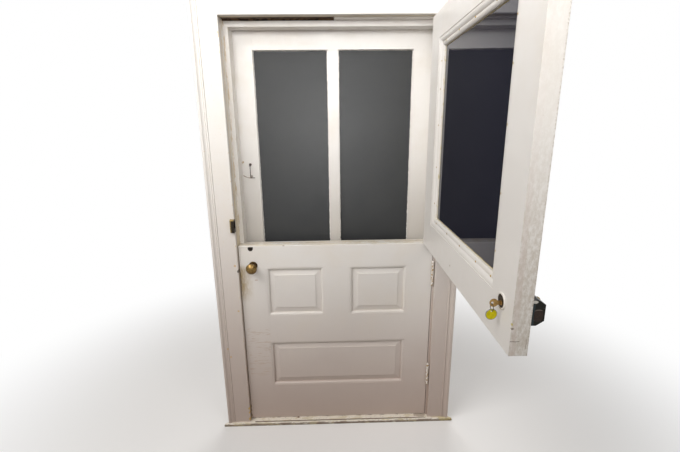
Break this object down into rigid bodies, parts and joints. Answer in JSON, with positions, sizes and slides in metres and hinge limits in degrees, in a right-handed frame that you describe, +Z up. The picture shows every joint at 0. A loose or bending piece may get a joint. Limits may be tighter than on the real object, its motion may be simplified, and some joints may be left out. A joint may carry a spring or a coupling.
{
  "type": "dutch stable door",
  "caption": "Two-leaf stable door in its frame, panelled lower leaf shut, glazed upper leaf open, with latch, rim lock and an outer screen door.",
  "frame": {"origin": "underside of the threshold, midway between the jambs, at the wall's room face", "axes": "+X across the opening towards the hinges, +Y from the room to the outside, +Z up"},
  "size_m": [1.188, 1.077, 2.0525],
  "materials": {
    "white_paint": "satin",
    "painted_wood": "painted satin",
    "bare_wood": "worn",
    "glass": "clear",
    "brass": "tarnished",
    "black_iron": "japanned",
    "steel": "dull",
    "mesh": "matt",
    "tag_card": "matt"
  },
  "bodies": {
    "frame": {"threshold": "painted_wood", "saddle_strip": "painted_wood", "left_jamb": "painted_wood", "right_jamb": "painted_wood", "head_jamb": "painted_wood", "left_stop": "painted_wood", "right_stop": "painted_wood", "head_stop": "painted_wood", "head_filler_strip": "bare_wood", "latch_strike": "brass", "left_casing": "painted_wood", "right_casing": "painted_wood", "head_casing": "painted_wood", "rim_strike": "black_iron", "hook_catch_eye": "white_paint", "frame_hinge_leaves": "white_paint", "hinge_pins": "white_paint", "frame_hinge_screws": "white_paint"},
    "lower_leaf": {"lower_lock_stile": "painted_wood", "lower_hinge_stile": "painted_wood", "lower_bottom_rail": "painted_wood", "lower_middle_rail": "painted_wood", "lower_top_rail": "painted_wood", "lower_muntin": "painted_wood", "left_panel": "painted_wood", "right_panel": "painted_wood", "wide_panel": "painted_wood", "cap_strip": "painted_wood", "drip_ledge": "painted_wood", "latch_case": "steel", "knob_rosettes": "brass", "lower_leaf_hinges": "white_paint"},
    "latch": {"latch_bolt": "steel"},
    "knobs": {"inside_knob": "brass", "outside_knob": "brass", "knob_spindle": "steel"},
    "upper_leaf": {"upper_lock_stile": "painted_wood", "upper_hinge_stile": "painted_wood", "upper_bottom_rail": "painted_wood", "upper_top_rail": "painted_wood", "window_glass": "glass", "glazing_beads": "painted_wood", "rim_lock_case": "black_iron", "lock_cylinder": "brass", "cylinder_ring": "white_paint", "upper_leaf_hinges": "white_paint"},
    "rim_bolt_slide": {"rim_bolt": "steel"},
    "turn": {"thumb_turn": "black_iron"},
    "key": {"door_key": "brass"},
    "tag": {"key_ring": "steel", "key_tag": "tag_card"},
    "screen": {"screen_left_stile": "painted_wood", "screen_right_stile": "painted_wood", "screen_top_rail": "painted_wood", "screen_bottom_rail": "painted_wood", "screen_mullion": "painted_wood", "screen_meshes": "mesh", "screen_hook_eye": "steel", "screen_hinge_leaves": "white_paint"},
    "hook": {"screen_hook": "steel"}
  },
  "joints": [
    {"name": "lower_leaf_swing", "type": "hinge", "parent": "frame", "child": "lower_leaf", "pos_m": [0.4587, -0.0075, 0.022], "axis": [0, 0, 1], "range_deg": [0, 120]},
    {"name": "upper_leaf_swing", "type": "hinge", "parent": "frame", "child": "upper_leaf", "pos_m": [0.4587, -0.0075, 0.9745], "axis": [0, 0, 1], "range_deg": [-89.2, 30]},
    {"name": "screen_door_swing", "type": "hinge", "parent": "frame", "child": "screen", "pos_m": [0.4587, 0.1475, 0.021], "axis": [0, 0, -1], "range_deg": [0, 110]},
    {"name": "knob_turn", "type": "hinge", "parent": "lower_leaf", "child": "knobs", "pos_m": [-0.394, 0.02225, 0.873], "axis": [0, 1, 0], "range_deg": [0, 60]},
    {"name": "latch_slide", "type": "slide", "parent": "lower_leaf", "child": "latch", "axis": [-1, 0, 0], "range_m": [0, 0.012]},
    {"name": "thumb_turn", "type": "hinge", "parent": "upper_leaf", "child": "turn", "pos_m": [0.47128, -0.86166, 1.0835], "axis": [-0.9999, 0.014, 0], "range_deg": [0, 90]},
    {"name": "rim_bolt_slide", "type": "slide", "parent": "upper_leaf", "child": "rim_bolt_slide", "axis": [-0.014, -0.9999, 0], "range_m": [0, 0.014]},
    {"name": "key_turn", "type": "hinge", "parent": "upper_leaf", "child": "key", "pos_m": [0.39477, -0.86139, 1.083], "axis": [-0.9999, 0.014, 0], "range_deg": [0, 90]},
    {"name": "tag_swing", "type": "hinge", "parent": "key", "child": "tag", "pos_m": [0.37157, -0.86107, 1.0809], "axis": [-0.9999, 0.014, 0], "range_deg": [-30, 30]},
    {"name": "hook_swing", "type": "hinge", "parent": "screen", "child": "hook", "pos_m": [-0.397, 0.097, 1.333], "axis": [0, 1, 0], "range_deg": [-90, 35]}
  ],
  "couplings": [
    {"joint": "latch_slide", "follows": "knob_turn", "m_per_rad": 0.011458},
    {"joint": "thumb_turn", "follows": "rim_bolt_slide", "rad_per_m": 112.19},
    {"joint": "key_turn", "follows": "rim_bolt_slide", "rad_per_m": 112.19}
  ]
}
